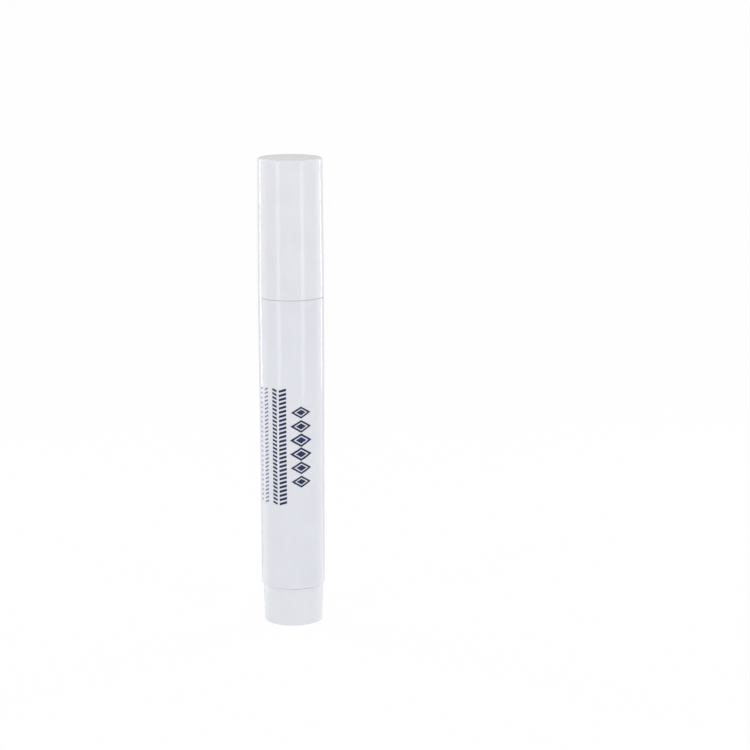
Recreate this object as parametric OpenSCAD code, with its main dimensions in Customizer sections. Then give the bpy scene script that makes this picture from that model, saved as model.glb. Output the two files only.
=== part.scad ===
// Twist pen for cuticle oil: a pull-off cap with an inner cap, a tapered barrel with
// a brush nose, and a tail knob that feeds a piston through a ratchet and a lead screw.
// The pen stands on its knob. The origin is the centre of the foot and +Z is the pen's axis.

/* [Cap] */
// Length of the cap
cap_len = 33.6; // [32:0.2:38]
// Radius of the cap at its mouth, which the barrel and the knob follow
cap_mouth_r = 8; // [7.9:0.05:8.4]
// How much the cap's radius draws in from its mouth to its top
cap_draw = 0.21; // [0.1:0.01:0.25]
// Rounding of the cap's top edge
cap_edge_r = 0.6; // [0.3:0.05:0.8]
// Wall of the cap where it is thinnest
cap_wall = 0.9; // [0.7:0.05:1.05]
// Thickness of the cap's top
cap_roof = 1.2; // [0.9:0.1:1.8]
// Wall of the inner cap
liner_wall = 0.65; // [0.5:0.05:0.8]
// Number of fins that centre the inner cap
liner_fins = 6; // [4:1:8]
// Open line between the closed cap and the barrel's shoulder
cap_seam = 0.05; // [0.04:0.01:0.3]

/* [Barrel] */
// Length of the barrel from its rear end to its shoulder
barrel_len = 71.3; // [69:0.1:80]
// How far the cap's mouth stands proud of the barrel's shoulder
cap_proud = 0.03; // [0:0.01:0.08]
// How much the barrel's radius draws in from its shoulder to its rear end
barrel_draw = 0.27; // [0.15:0.01:0.35]
// Wall round the product chamber at its thinnest
chamber_wall = 1.4; // [1.3:0.05:1.6]
// Wall round the mechanism at its thinnest
rear_wall = 0.95; // [0.9:0.01:1.05]
// Thickness of the shoulder between the chamber and the neck
shoulder_wall = 2; // [1.6:0.1:2.6]
// Length of the neck that the cap closes on
neck_len = 7; // [6.5:0.1:8]
// Wall of the neck
neck_wall = 0.95; // [0.8:0.05:1.1]

/* [Nose and brush] */
// Height of the nose above the neck
nose_len = 5.8; // [5.2:0.1:6.5]
// Outer radius of the sleeve that holds the tuft
ferrule_r = 2.6; // [2.4:0.05:2.8]
// Wall of that sleeve
ferrule_wall = 0.45; // [0.35:0.05:0.55]
// Length of the brush that shows beyond the sleeve
brush_len = 9.7; // [8:0.1:10.5]
// Number of strands round each ring of the tuft
brush_round = 44; // [40:1:48]
// Number of rings of strands
brush_rings = 7; // [7:1:8]
// Outer radius of the feed tube
tube_r = 0.75; // [0.65:0.05:0.8]
// Bore radius of the feed tube
tube_bore_r = 0.45; // [0.35:0.05:0.5]

/* [Knob] */
// Length of the knob that shows below the barrel
knob_len = 9.4; // [8:0.1:11]
// Step from the barrel's rear end in to the knob
knob_step = 0.48; // [0.3:0.01:0.55]
// Wall of the knob
knob_wall = 1.3; // [1.1:0.05:1.5]
// Thickness of the knob's floor
knob_floor = 1.5; // [1.2:0.1:1.8]
// Length of the knob's spigot inside the barrel
spigot_len = 8.6; // [8:0.1:10]
// Rounding of the foot's edge
foot_edge_r = 0.5; // [0.3:0.05:0.7]

/* [Mechanism] */
// Advance of the piston in one turn of the knob
lead = 2; // [1.7:0.1:2.1]
// Turns of the knob from a full pen to an empty one
full_turns = 15; // [12:1:16]
// Length of the piston
piston_len = 6.5; // [6:0.1:7.5]
// Outer radius of the lead screw
screw_r = 2.8; // [2.6:0.05:2.9]
// Distance across the lead screw's two flats
screw_flats = 4; // [3.6:0.1:4.3]
// Thickness of the fixed nut
nut_len = 3; // [2.6:0.1:3.6]
// Height of the ratchet ring
ratchet_len = 5; // [4.6:0.1:5.6]
// Number of clicks in one turn
ratchet_teeth = 24; // [18:3:30]
// Depth of a ratchet tooth
tooth_depth = 0.5; // [0.4:0.05:0.55]
// Number of spring pawls
pawls = 3; // [2:1:3]

/* [Hidden] */
$fn = 96;

// Clearances: turning pieces, the knob's shoulder, pressed pieces, ends that face each
// other, and overruns
run_gap = 0.05;
shoulder_run = 0.06;
seat_gap = 0.03;
end_gap = 0.15;
cut = 1;
weld = 0.3;

// Levels along the axis
barrel_z = knob_len;
shoulder_z = barrel_z + barrel_len;
neck_top = shoulder_z + neck_len;
cap_z = shoulder_z + cap_seam;
pen_len = cap_z + cap_len;
cap_roof_z = pen_len - cap_roof;

// Outer radii, all from the cap's mouth
cap_top_r = cap_mouth_r - cap_draw;
barrel_front_r = cap_mouth_r - cap_proud;
barrel_rear_r = barrel_front_r - barrel_draw;
knob_r = barrel_rear_r - knob_step;

// Radii from the cap inwards, so that the cap always closes on the neck
cap_bore_r = cap_top_r - cap_wall;
liner_r = cap_bore_r - seat_gap;
collar_r = liner_r - liner_wall;
neck_gap = 0.25;
neck_r = collar_r - neck_gap;
neck_bore_r = neck_r - neck_wall;
snap_h = 0.11;
snap_len = 0.5;
chamber_r = barrel_rear_r - chamber_wall;
rear_bore_r = barrel_rear_r - rear_wall;

// Levels of the mechanism, from the chamber's front end back to the foot
travel = lead * full_turns;
chamber_top = shoulder_z - shoulder_wall;
stop_gap = 0.4;
piston_z = chamber_top - stop_gap - travel - piston_len;
nut_top = piston_z - 2 * end_gap;
nut_z = nut_top - nut_len;
ratchet_top = nut_z - seat_gap;
ratchet_z = ratchet_top - ratchet_len;
sleeve_top = nut_z - end_gap;
key_len = 7;
screw_foot_gap = 0.7;
screw_z = knob_floor + screw_foot_gap;
spigot_top = barrel_z + spigot_len;

// Edge roundings and chamfers
cap_lip_r = 0.12;
barrel_edge_r = 0.25;
shoulder_edge_r = 0.12;
small_chamfer = 0.3;

// A point at a radius and an angle
function polar(r, a) = [r * cos(a), r * sin(a)];

// Half outline of a turned body with round outer corners. A tapered side runs between
// two short straight stretches, so that each rounding meets the side in line.
module turned_outline(z0, z1, r0, r1, e0, e1) {
    c0 = [r0 - e0, z0 + e0];
    c1 = [r1 - e1, z1 - e1];
    straight = r0 == r1;
    polygon([
        [0, z0], [c0.x, z0], c0, [r0, c0.y],
        if (!straight) [r0, c0.y + e0],
        if (!straight) [r1, c1.y - e1],
        [r1, c1.y], c1, [c1.x, z1], [0, z1]
    ]);
    translate(c0) circle(e0);
    translate(c1) circle(e1);
}

// Half outline of a low ring that stands out from a wall at radius r by h
module snap_outline(r, z, h) {
    polygon([[r - weld, z - snap_len], [r, z - snap_len], [r + h, z - h], [r + h, z + h],
        [r, z + snap_len], [r - weld, z + snap_len]]);
}

// Half outline of the groove that such a ring sits in
module snap_groove(r, z, h) {
    translate([r - weld, z - snap_len - seat_gap])
        square([weld + h + seat_gap, 2 * (snap_len + seat_gap)]);
}

// Outer cap
liner_snap_h = 0.15;
liner_inset = 0.6;
liner_snap_z = cap_z + liner_inset + 3 * snap_len;
mouth_flare = 0.25;
cove = 0.4;
module cap_shell() {
    color("whitesmoke")
    rotate_extrude()
    difference() {
        turned_outline(cap_z, pen_len, cap_mouth_r, cap_top_r, cap_lip_r, cap_edge_r);
        polygon([
            [0, cap_z - cut], [cap_bore_r + mouth_flare, cap_z - cut],
            [cap_bore_r + mouth_flare, cap_z], [cap_bore_r, cap_z + mouth_flare],
            [cap_bore_r, cap_roof_z - cove], [cap_bore_r - cove, cap_roof_z], [0, cap_roof_z]
        ]);
        snap_groove(cap_bore_r, liner_snap_z, liner_snap_h);
    }
}

// Nose levels and radii, which the inner cap closes on
flange_len = 1.2;
flange_z = neck_top + seat_gap;
flange_top = flange_z + flange_len;
seal_step_share = 0.9;
seal_r = neck_r - seal_step_share * liner_wall;
seal_len = 1.6;
seal_top = flange_top + seal_len;
nose_top = neck_top + nose_len;
nose_tip_r = ferrule_r + liner_wall;
nose_edge_r = 0.4;
ferrule_top = nose_top + 2 * small_chamfer;
brush_tip_z = ferrule_top + brush_len;

// Inner cap: a collar over the neck, a seal on the nose and a closed tube over the brush
tip_room_r = 4.5;
room_edge_r = 1;
liner_z = cap_z + liner_inset;
web_z = flange_top + end_gap;
seal_bore_r = seal_r + run_gap;
web_top = web_z + liner_wall;
waist_top = seal_top + liner_wall;
liner_top = cap_roof_z - 2 * room_edge_r;
liner_tube_r = tip_room_r + liner_wall;
neck_snap_z = shoulder_z + neck_len / 2;
collar_snap_z = neck_snap_z - 2 * snap_len - end_gap;
fin_t = 0.6;
fin_r = liner_r - seat_gap;
fin_top = liner_top - 2 * room_edge_r;
module cap_liner() {
    color("white")
    union() {
        rotate_extrude()
        difference() {
            union() {
                polygon([
                    [0, liner_z], [liner_r - small_chamfer, liner_z], [liner_r, liner_z + small_chamfer],
                    [liner_r, web_top - small_chamfer], [liner_r - small_chamfer, web_top],
                    [seal_bore_r + liner_wall, web_top], [seal_bore_r + liner_wall, seal_top],
                    [liner_tube_r, waist_top], [0, waist_top]
                ]);
                turned_outline(web_z, liner_top, liner_tube_r, liner_tube_r,
                    room_edge_r, room_edge_r + liner_wall);
                snap_outline(liner_r, liner_snap_z, liner_snap_h);
            }
            difference() {
                polygon([
                    [0, liner_z - cut], [collar_r + small_chamfer, liner_z - cut],
                    [collar_r + small_chamfer, liner_z], [collar_r, liner_z + small_chamfer],
                    [collar_r, web_z], [seal_bore_r, web_z], [seal_bore_r, seal_top],
                    [tip_room_r, waist_top], [0, waist_top]
                ]);
                polygon([
                    [collar_r + weld, collar_snap_z - snap_len], [collar_r, collar_snap_z - snap_len],
                    [collar_r - snap_h, collar_snap_z - snap_h], [collar_r - snap_h, collar_snap_z + snap_h],
                    [collar_r, collar_snap_z + snap_len], [collar_r + weld, collar_snap_z + snap_len]
                ]);
            }
            turned_outline(web_z, liner_top - liner_wall, tip_room_r, tip_room_r,
                room_edge_r, room_edge_r);
        }
        for (i = [0 : liner_fins - 1])
            rotate([90, 0, i * 360 / liner_fins])
            translate([0, 0, -fin_t / 2])
            linear_extrude(fin_t)
            polygon([
                [seal_bore_r + liner_wall / 2, web_z + liner_wall / 2],
                [fin_r, web_z + liner_wall / 2], [fin_r, fin_top - fin_t], [fin_r - fin_t, fin_top],
                [liner_tube_r - liner_wall / 2, fin_top], [liner_tube_r - liner_wall / 2, waist_top],
                [seal_bore_r + liner_wall / 2, seal_top]
            ]);
    }
}

// Barrel with its neck: a wide bore for the mechanism behind the product chamber
key_rib_share = 0.8;
key_rib_h = key_rib_share * (rear_bore_r - chamber_r);
key_rib_w = 1.2;
key_ribs = 4;
spigot_r = rear_bore_r - run_gap;
spigot_snap_h = 0.16;
spigot_snap_z = spigot_top - 4 * snap_len;
nose_plug_len = 5.5;
nose_snap_z = neck_top - nose_plug_len + 3 * snap_len;
neck_chamfer = 0.35;
module barrel() {
    color("ghostwhite")
    union() {
        rotate_extrude()
        difference() {
            union() {
                turned_outline(barrel_z, shoulder_z, barrel_rear_r, barrel_front_r,
                    barrel_edge_r, shoulder_edge_r);
                polygon([
                    [0, shoulder_z - weld], [neck_r, shoulder_z - weld],
                    [neck_r, neck_top - neck_chamfer], [neck_r - neck_chamfer, neck_top], [0, neck_top]
                ]);
                snap_outline(neck_r, neck_snap_z, snap_h);
            }
            polygon([
                [0, barrel_z - cut], [rear_bore_r + small_chamfer, barrel_z - cut],
                [rear_bore_r + small_chamfer, barrel_z], [rear_bore_r, barrel_z + small_chamfer],
                [rear_bore_r, nut_top + seat_gap], [chamber_r, nut_top + seat_gap],
                [chamber_r, chamber_top], [neck_bore_r, chamber_top + chamber_r - neck_bore_r],
                [neck_bore_r, neck_top + cut], [0, neck_top + cut]
            ]);
            snap_groove(rear_bore_r, spigot_snap_z, spigot_snap_h);
            snap_groove(neck_bore_r, nose_snap_z, snap_h);
        }
        for (i = [0 : key_ribs - 1])
            rotate(i * 360 / key_ribs)
            translate([rear_bore_r - key_rib_h, -key_rib_w / 2, ratchet_z])
            cube([key_rib_h + weld, key_rib_w, nut_top + seat_gap + weld - ratchet_z]);
    }
}

// Tip holder plugged into the neck
nose_plug_r = neck_bore_r - seat_gap;
nose_web = 1.6;
nose_web_z = neck_top - nose_web;
nose_cup_r = nose_plug_r - neck_wall;
nose_bore_r = ferrule_r + seat_gap;
cone_share = 0.8;
module nose_cone() {
    color("white")
    rotate_extrude()
    difference() {
        union() {
            polygon([
                [0, neck_top - nose_plug_len], [nose_plug_r - small_chamfer, neck_top - nose_plug_len],
                [nose_plug_r, neck_top - nose_plug_len + small_chamfer], [nose_plug_r, flange_z],
                [neck_r - small_chamfer, flange_z], [neck_r, flange_z + small_chamfer],
                [neck_r, flange_top - small_chamfer], [neck_r - small_chamfer, flange_top],
                [seal_r, flange_top], [seal_r, seal_top - small_chamfer],
                [seal_r - small_chamfer, seal_top], [0, seal_top]
            ]);
            snap_outline(nose_plug_r, nose_snap_z, snap_h);
            turned_outline(flange_top, nose_top, seal_r * cone_share, nose_tip_r,
                nose_edge_r, nose_edge_r);
        }
        polygon([
            [0, neck_top - nose_plug_len - cut], [nose_cup_r, neck_top - nose_plug_len - cut],
            [nose_cup_r, nose_web_z - small_chamfer], [nose_cup_r - small_chamfer, nose_web_z],
            [nose_bore_r, nose_web_z], [nose_bore_r, nose_top + cut], [0, nose_top + cut]
        ]);
    }
}

// Sleeve that holds the tuft, pushed into the nose from behind against its flange
ferrule_flange_t = 0.8;
ferrule_flange_r = ferrule_r + small_chamfer * 2;
ferrule_z = nose_web_z - seat_gap - ferrule_flange_t;
ferrule_bore_r = ferrule_r - ferrule_wall;
crimp_r = 0.12;
module brush_ferrule() {
    color("gainsboro")
    rotate_extrude()
    difference() {
        polygon([
            [ferrule_bore_r, ferrule_z], [ferrule_flange_r, ferrule_z],
            [ferrule_flange_r, ferrule_z + ferrule_flange_t], [ferrule_r, ferrule_z + ferrule_flange_t],
            [ferrule_r, ferrule_top - crimp_r], [ferrule_r - crimp_r, ferrule_top],
            [ferrule_bore_r, ferrule_top]
        ]);
        translate([ferrule_r, nose_top + small_chamfer]) circle(crimp_r);
    }
}

// Root of the tuft, the slice that its strands are fused to, and the feed tube in it
tuft_r = ferrule_bore_r - seat_gap;
tube_hole_r = tube_r + seat_gap;
slice_t = 0.8;
slice_z = ferrule_top - 2 * slice_t;
brush_z = slice_z + slice_t;
tuft_plug_len = 5;
tuft_plug_z = slice_z - seat_gap - tuft_plug_len;
module tuft_plug() {
    color("wheat")
    rotate_extrude()
    polygon([
        [tube_hole_r, tuft_plug_z], [tuft_r - small_chamfer, tuft_plug_z],
        [tuft_r, tuft_plug_z + small_chamfer], [tuft_r, slice_z - seat_gap],
        [tube_hole_r, slice_z - seat_gap]
    ]);
}

tube_flange_t = 0.8;
tube_z = tuft_plug_z - seat_gap - tube_flange_t;
tube_top = brush_z + 3 * slice_t;
module feed_tube() {
    color("lightgray")
    rotate_extrude()
    polygon([
        [tube_bore_r, tube_z], [tuft_r, tube_z], [tuft_r, tube_z + tube_flange_t],
        [tube_r, tube_z + tube_flange_t], [tube_r, tube_top - tube_flange_t / 4],
        [tube_r - tube_flange_t / 4, tube_top], [tube_bore_r, tube_top]
    ]);
}

// Tuft: each cell of a ring grid on the slice carries one three-sided strand. All strands
// draw in by one rule of height, so none cross, and the outer ones end lower.
strand_base_shares = [[0.22, 0.24], [0.78, 0.24], [0.5, 0.82]];
belly_share = 0.34;
belly_width_share = 1.05;
tip_width_share = 0.2;
outer_cut_share = 0.3;
strand_cell = (tuft_r - tube_hole_r - seat_gap) / brush_rings;
strand_first_r = tube_hole_r + seat_gap;
brush_height = brush_tip_z - brush_z;
function cell_r(i) = strand_first_r + i * strand_cell;
function cell_point(i, j, z) =
    let (p = polar(cell_r(i), j * 360 / brush_round)) [p.x, p.y, z];
function brush_width(t) = t < belly_share
    ? 1 + (belly_width_share - 1) * t / belly_share
    : belly_width_share + (tip_width_share - belly_width_share) * (t - belly_share) / (1 - belly_share);
function strand_reach(r) = 1 - outer_cut_share * pow(r / tuft_r, 2);
function strand_point(i, j, share, t) =
    let (p = polar(cell_r(i + share[1]) * brush_width(t), (j + share[0]) * 360 / brush_round))
    [p.x, p.y, brush_z + t * brush_height];
function strand(i, j) =
    let (reach = strand_reach(cell_r(i + 1 / 2)))
    concat(
        [for (share = strand_base_shares) strand_point(i, j, share, 0)],
        [for (share = strand_base_shares) strand_point(i, j, share, belly_share)],
        [strand_point(i, j, [1 / 2, 1 / 2], reach)]
    );
strand_points = 7;
grid_points = (brush_rings + 1) * brush_round;
low_start = grid_points;
strand_start = grid_points + 2 * brush_round;
function grid(i, j) = i * brush_round + j % brush_round;
function low(side, j) = low_start + side * brush_round + j % brush_round;
function cell_faces(i, j) =
    let (
        a = grid(i, j), b = grid(i, j + 1), c = grid(i + 1, j + 1), d = grid(i + 1, j),
        s = strand_start + strand_points * (i * brush_round + j),
        p = s, q = s + 1, t = s + 2, p2 = s + 3, q2 = s + 4, t2 = s + 5, tip = s + 6
    )
    [
        [a, b, q], [a, q, p], [b, c, t], [b, t, q], [c, d, t], [d, a, p], [d, p, t],
        [p, q, q2], [p, q2, p2], [q, t, t2], [q, t2, q2], [t, p, p2], [t, p2, t2],
        [p2, q2, tip], [q2, t2, tip], [t2, p2, tip]
    ];
function rim_faces(j) =
    let (
        a = grid(0, j), b = grid(0, j + 1), a2 = low(0, j), b2 = low(0, j + 1),
        d = grid(brush_rings, j), c = grid(brush_rings, j + 1), d2 = low(1, j), c2 = low(1, j + 1)
    )
    [[d, c, c2], [d, c2, d2], [b, a, a2], [b, a2, b2], [d2, c2, b2], [d2, b2, a2]];
module brush_bristles() {
    points = concat(
        [for (i = [0 : brush_rings]) for (j = [0 : brush_round - 1]) cell_point(i, j, brush_z)],
        [for (i = [0, brush_rings]) for (j = [0 : brush_round - 1]) cell_point(i, j, slice_z)],
        [for (i = [0 : brush_rings - 1]) for (j = [0 : brush_round - 1]) each strand(i, j)]
    );
    faces = concat(
        [for (i = [0 : brush_rings - 1]) for (j = [0 : brush_round - 1]) each cell_faces(i, j)],
        [for (j = [0 : brush_round - 1]) each rim_faces(j)]
    );
    color("oldlace")
    polyhedron(points, faces, convexity = 10);
}

// Piston: two lips that wipe the chamber and a socket that the screw's head snaps into
lip_r = chamber_r - run_gap;
lip_h = 1.1;
piston_waist_r = chamber_r - chamber_wall / 3;
piston_lip_z = piston_z + piston_len;
boss_r = neck_bore_r - neck_wall / 2;
socket_wall = 1.2;
screw_head_r = 2.2;
screw_neck_r = 1.5;
socket_len = 3;
piston_skirt = 0.9;
piston_core_r = screw_head_r + run_gap + piston_skirt;
piston_slot = 0.8;
module piston() {
    color("gainsboro")
    difference() {
        rotate_extrude()
        difference() {
            polygon([
                [0, piston_z], [lip_r - small_chamfer, piston_z], [lip_r, piston_z + small_chamfer],
                [lip_r, piston_z + lip_h], [piston_waist_r, piston_z + 2 * lip_h],
                [piston_waist_r, piston_lip_z - 2 * lip_h], [lip_r, piston_lip_z - lip_h],
                [lip_r, piston_lip_z - small_chamfer], [lip_r - small_chamfer, piston_lip_z],
                [boss_r, piston_lip_z], [boss_r - lip_h, piston_lip_z + lip_h], [0, piston_lip_z + lip_h]
            ]);
            polygon([
                [piston_core_r, piston_z - cut], [piston_waist_r - piston_skirt, piston_z - cut],
                [piston_waist_r - piston_skirt, piston_lip_z - 2 * lip_h],
                [piston_core_r, piston_lip_z - 2 * lip_h]
            ]);
            polygon([
                [0, piston_z - cut], [screw_neck_r + run_gap, piston_z - cut],
                [screw_neck_r + run_gap, piston_z + socket_wall],
                [screw_head_r + run_gap, piston_z + socket_wall],
                [screw_head_r + run_gap, piston_z + socket_wall + socket_len],
                [screw_neck_r, piston_z + socket_wall + socket_len + lip_h / 2],
                [0, piston_z + socket_wall + socket_len + lip_h / 2]
            ]);
        }
        for (turn = [0, 90])
            rotate(turn)
            translate([-screw_head_r, -piston_slot / 2, piston_z - cut])
            cube([2 * screw_head_r, piston_slot, cut + socket_wall + weld]);
    }
}

// Lead screw: a rod with two flats at the radius of its thread's crest, and a snap head
screw_body_top = piston_z - end_gap;
head_z = piston_z + socket_wall + run_gap;
head_len = socket_len - 2 * run_gap;
head_edge = 0.8;
module lead_screw() {
    color("white")
    union() {
        intersection() {
            rotate_extrude()
            polygon([
                [0, screw_z], [screw_r - small_chamfer, screw_z], [screw_r, screw_z + small_chamfer],
                [screw_r, screw_body_top - small_chamfer], [screw_r - small_chamfer, screw_body_top],
                [0, screw_body_top]
            ]);
            translate([-screw_r - cut, -screw_flats / 2, screw_z - cut])
                cube([2 * (screw_r + cut), screw_flats, screw_body_top - screw_z + 2 * cut]);
        }
        rotate_extrude()
        polygon([
            [0, screw_body_top - weld], [screw_neck_r, screw_body_top - weld], [screw_neck_r, head_z],
            [screw_head_r, head_z], [screw_head_r, head_z + head_len - head_edge],
            [screw_head_r - head_edge, head_z + head_len], [0, head_z + head_len]
        ]);
    }
}

// A pressed ring's notches for the barrel's key ribs
module key_notches() {
    for (i = [0 : key_ribs - 1])
        rotate(i * 360 / key_ribs)
        translate([rear_bore_r - key_rib_h - seat_gap, -key_rib_w / 2 - seat_gap])
        square([key_rib_h + seat_gap + weld, key_rib_w + 2 * seat_gap]);
}

// Fixed nut, pressed up against the step behind the chamber
nut_r = rear_bore_r - seat_gap;
module screw_nut() {
    color("gainsboro")
    translate([0, 0, nut_z])
    linear_extrude(nut_len)
    difference() {
        circle(nut_r);
        circle(screw_r + run_gap);
        key_notches();
    }
}

// Fixed ring of saw teeth: each tooth's ramp closes in as the knob turns forward
ratchet_wall = 0.95;
gullet_r = nut_r - ratchet_wall;
crest_r = gullet_r - tooth_depth;
tooth_pitch = 360 / ratchet_teeth;
function tooth(i) = [polar(gullet_r, i * tooth_pitch), polar(crest_r, (i + 1) * tooth_pitch)];
module ratchet_ring() {
    color("lightsteelblue")
    translate([0, 0, ratchet_z])
    linear_extrude(ratchet_len)
    difference() {
        circle(nut_r);
        polygon([for (i = [0 : ratchet_teeth - 1]) each tooth(i)]);
        key_notches();
    }
}

// Sleeve fixed in the knob: a keyed bore turns the screw, and its spring pawls trail
// over the saw teeth. The pawls are drawn pressed in, just clear of the crests.
sleeve_gap = 0.2;
sleeve_bore_r = screw_r + sleeve_gap;
sleeve_wall = 0.8;
sleeve_r = sleeve_bore_r + sleeve_wall;
sleeve_z = knob_floor + seat_gap;
key_z = sleeve_top - key_len;
pawl_len = 3.4;
pawl_z = ratchet_top - end_gap - pawl_len;
pawl_tip_r = crest_r - run_gap;
pawl_arm_r = pawl_tip_r - tooth_depth / 2;
pawl_t = 0.5;
pawl_span = 84;
pawl_root = 16;
pawl_tip_span = 7;
splines = 6;
spline_h = 0.6;
spline_w = 1;
spline_top = knob_len - end_gap;
module pawl_outline() {
    reach = 2 * pawl_tip_r;
    intersection() {
        difference() {
            circle(pawl_arm_r);
            circle(pawl_arm_r - pawl_t);
        }
        polygon([[0, 0], polar(reach, 0), polar(reach, pawl_span / 2), polar(reach, pawl_span)]);
    }
    intersection() {
        difference() {
            circle(pawl_arm_r);
            circle(sleeve_r - pawl_t / 2);
        }
        polygon([[0, 0], polar(reach, pawl_span - pawl_root), polar(reach, pawl_span)]);
    }
    polygon([
        polar(pawl_arm_r - pawl_t / 2, 0), polar(pawl_tip_r, 0),
        polar(pawl_arm_r - pawl_t / 2, pawl_tip_span)
    ]);
}
module drive_sleeve() {
    color("lightblue")
    union() {
        difference() {
            rotate_extrude()
            polygon([
                [0, sleeve_z], [sleeve_r - small_chamfer, sleeve_z],
                [sleeve_r, sleeve_z + small_chamfer], [sleeve_r, sleeve_top], [0, sleeve_top]
            ]);
            translate([0, 0, sleeve_z - cut])
                cylinder(h = key_z - sleeve_z + cut, r = sleeve_bore_r);
            intersection() {
                translate([0, 0, key_z - cut])
                    cylinder(h = key_len + 2 * cut, r = screw_r + run_gap);
                translate([-sleeve_r, -screw_flats / 2 - run_gap, key_z - cut])
                    cube([2 * sleeve_r, screw_flats + 2 * run_gap, key_len + 2 * cut]);
            }
        }
        translate([0, 0, pawl_z])
        linear_extrude(pawl_len)
        for (i = [0 : pawls - 1])
            rotate(i * 360 / pawls)
            pawl_outline();
        for (i = [0 : splines - 1])
            rotate(i * 360 / splines)
            translate([sleeve_r - sleeve_wall / 2, -spline_w / 2, sleeve_z + small_chamfer])
            cube([sleeve_wall / 2 + spline_h, spline_w, spline_top - sleeve_z - small_chamfer]);
    }
}

// Tail knob: a cup with a splined hub for the sleeve and a slotted spigot that snaps
// into the barrel and turns there
hub_bore_r = sleeve_r + seat_gap;
hub_r = hub_bore_r + spline_h + sleeve_wall;
spigot_wall = 0.95;
cup_r = knob_r - knob_wall;
spigot_bore_r = spigot_r - spigot_wall;
slots = 4;
slot_w = 1.2;
slot_len = 6;
foot_recess_r = 4.6;
foot_recess_t = 0.25;
cup_taper = 1;
module twist_knob() {
    color("whitesmoke")
    union() {
        difference() {
            rotate_extrude()
            difference() {
                union() {
                    turned_outline(0, barrel_z - shoulder_run, knob_r, knob_r,
                        foot_edge_r, shoulder_edge_r);
                    polygon([
                        [0, barrel_z - shoulder_run - weld], [spigot_r, barrel_z - shoulder_run - weld],
                        [spigot_r, spigot_top - small_chamfer],
                        [spigot_r - small_chamfer, spigot_top], [0, spigot_top]
                    ]);
                    snap_outline(spigot_r, spigot_snap_z, spigot_snap_h);
                }
                polygon([
                    [0, knob_floor], [cup_r, knob_floor], [cup_r, barrel_z - 2 * cup_taper],
                    [spigot_bore_r, barrel_z - cup_taper], [spigot_bore_r, spigot_top + cut],
                    [0, spigot_top + cut]
                ]);
                polygon([
                    [0, -cut], [foot_recess_r + foot_recess_t, -cut], [foot_recess_r + foot_recess_t, 0],
                    [foot_recess_r, foot_recess_t], [0, foot_recess_t]
                ]);
            }
            for (i = [0 : slots - 1])
                rotate(i * 360 / slots)
                translate([spigot_bore_r - weld, -slot_w / 2, spigot_top - slot_len])
                cube([spigot_wall + spigot_snap_h + 2 * weld, slot_w, slot_len + cut]);
        }
        difference() {
            translate([0, 0, knob_floor - weld])
                cylinder(h = barrel_z - knob_floor + weld, r = hub_r);
            translate([0, 0, knob_floor])
                cylinder(h = barrel_z, r = hub_bore_r);
            for (i = [0 : splines - 1])
                rotate(i * 360 / splines)
                translate([0, -spline_w / 2 - seat_gap, knob_floor])
                cube([hub_bore_r + spline_h, spline_w + 2 * seat_gap, barrel_z]);
        }
    }
}

cap_shell();
cap_liner();
barrel();
nose_cone();
brush_ferrule();
tuft_plug();
feed_tube();
brush_bristles();
piston();
lead_screw();
screw_nut();
ratchet_ring();
drive_sleeve();
twist_knob();
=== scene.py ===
# %% [markdown]
# # A twist-up cuticle pen
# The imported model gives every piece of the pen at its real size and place, in metres,
# with +Z up the pen's axis. This notebook keeps those pieces where they are, gives each
# a finish, and adds what is too fine for the construction: the printed ornament, the
# loose ends of the tuft and the thread of the feed screw.

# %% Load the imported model
import math
import bpy
import bmesh
from mathutils import Matrix, Vector


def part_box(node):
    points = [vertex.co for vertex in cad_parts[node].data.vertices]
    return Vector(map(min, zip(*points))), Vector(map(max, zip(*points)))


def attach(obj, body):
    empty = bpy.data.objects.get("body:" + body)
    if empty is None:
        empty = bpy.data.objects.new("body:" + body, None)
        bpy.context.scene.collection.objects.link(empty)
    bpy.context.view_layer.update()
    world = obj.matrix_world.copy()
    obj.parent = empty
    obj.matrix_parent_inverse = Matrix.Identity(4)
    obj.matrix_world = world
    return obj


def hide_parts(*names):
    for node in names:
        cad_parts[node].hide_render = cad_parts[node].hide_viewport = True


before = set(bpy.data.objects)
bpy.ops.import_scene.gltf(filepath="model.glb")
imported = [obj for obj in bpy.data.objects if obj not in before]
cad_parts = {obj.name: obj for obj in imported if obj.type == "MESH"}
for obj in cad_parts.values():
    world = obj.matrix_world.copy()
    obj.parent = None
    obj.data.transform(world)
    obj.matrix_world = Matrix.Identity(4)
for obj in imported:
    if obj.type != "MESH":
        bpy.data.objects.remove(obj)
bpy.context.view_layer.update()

print("pieces in the frame:", ", ".join(sorted(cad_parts)))

# %% [markdown]
# ## The viewpoint
# The photograph was taken from a little above, with a long lens, so the pen's edges are
# almost parallel and its end curves are shallow. The distance and height below were
# fitted to the outline, and the three angles put both ends of the axis where they lie in
# the picture. A long lens is a large focal length on the usual 36 mm sensor.

# %% Camera
mm = 0.001
camera_distance = 617.1 * mm
camera_height = 178.7 * mm
camera_lens = 123.9
camera_yaw = 1.8815
camera_pitch = 10.787
camera_roll = -0.134


def make_camera():
    """A camera that stands in front of the pen, on the -Y side, and looks along +Y."""
    data = bpy.data.cameras.new("studio_camera")
    data.lens = camera_lens
    data.sensor_width = 36
    data.clip_start = 0.01
    data.clip_end = 50
    camera = bpy.data.objects.new("studio_camera", data)
    bpy.context.scene.collection.objects.link(camera)
    turn = (
        Matrix.Rotation(math.radians(-camera_yaw), 4, "Z")
        @ Matrix.Rotation(math.radians(90 - camera_pitch), 4, "X")
        @ Matrix.Rotation(math.radians(camera_roll), 4, "Z")
    )
    camera.matrix_world = Matrix.Translation((0, -camera_distance, camera_height)) @ turn
    bpy.context.scene.camera = camera
    return camera


camera = make_camera()
print("camera", [round(v, 4) for v in camera.location], "lens", camera.data.lens)

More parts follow.
